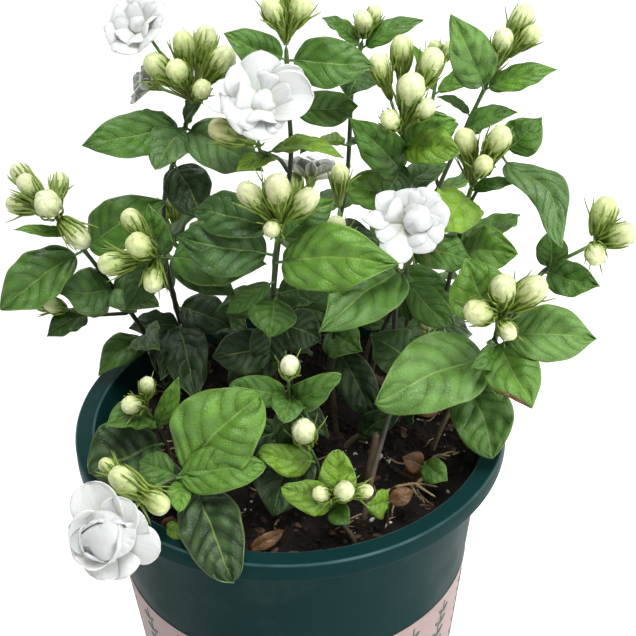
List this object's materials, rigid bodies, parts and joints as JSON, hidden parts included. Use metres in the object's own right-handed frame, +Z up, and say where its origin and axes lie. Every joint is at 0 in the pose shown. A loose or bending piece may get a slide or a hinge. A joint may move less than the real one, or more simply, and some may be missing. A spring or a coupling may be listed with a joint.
{
  "type": "potted jasmine",
  "caption": "Bushy double-flowered Arabian jasmine in a tapered, rimmed round plastic nursery pot filled with soil, with glossy leaves, bud heads and white blooms.",
  "frame": {"origin": "centre of the pot's base, on the surface that it stands on", "axes": "+Z up along the pot's axis, -Y the front from which the plant is seen, +X to its right"},
  "size_m": [0.2925, 0.2521, 0.4005],
  "materials": {
    "pot_plastic": "satin moulded plastic",
    "potting_soil": "rough, damp",
    "leafy_stems": "glossy leaf",
    "buds": "satin",
    "petals": "soft matte"
  },
  "bodies": {
    "root": {"bloom_centre": "petals", "bloom_front_left": "petals", "bloom_left_hidden": "petals", "bloom_rear": "petals", "bloom_right": "petals", "bloom_top_left": "petals", "bud_front_mid": "buds", "bud_front_small": "buds", "bud_right_inner": "buds", "buds_back_centre": "buds", "buds_back_inner": "buds", "buds_centre": "buds", "buds_centre_bloom": "buds", "buds_centre_top": "buds", "buds_far_right": "buds", "buds_far_right_small": "buds", "buds_front": "buds", "buds_front_left": "buds", "buds_left_inner": "buds", "buds_left_low": "buds", "buds_left_outer": "buds", "buds_left_small": "buds", "buds_rear_left": "buds", "buds_rear_mid": "buds", "buds_rear_right": "buds", "buds_right_bloom": "buds", "buds_right_low": "buds", "buds_right_outer": "buds", "buds_right_tall": "buds", "buds_right_upper": "buds", "buds_tall_left": "buds", "pot": "pot_plastic", "seedling_front": "leafy_stems", "seedling_right": "leafy_stems", "soil": "potting_soil", "stem_back_centre": "leafy_stems", "stem_centre": "leafy_stems", "stem_centre_tall": "leafy_stems", "stem_far_right": "leafy_stems", "stem_front": "leafy_stems", "stem_front_left": "leafy_stems", "stem_front_mid": "leafy_stems", "stem_front_small": "leafy_stems", "stem_left_outer": "leafy_stems", "stem_left_small": "leafy_stems", "stem_rear_left": "leafy_stems", "stem_rear_mid": "leafy_stems", "stem_rear_right": "leafy_stems", "stem_right_bloom": "leafy_stems", "stem_right_inner": "leafy_stems", "stem_right_low": "leafy_stems", "stem_right_outer": "leafy_stems", "stem_right_tall": "leafy_stems", "stem_right_upper": "leafy_stems", "stem_tall_left": "leafy_stems"}
  },
  "joints": []
}
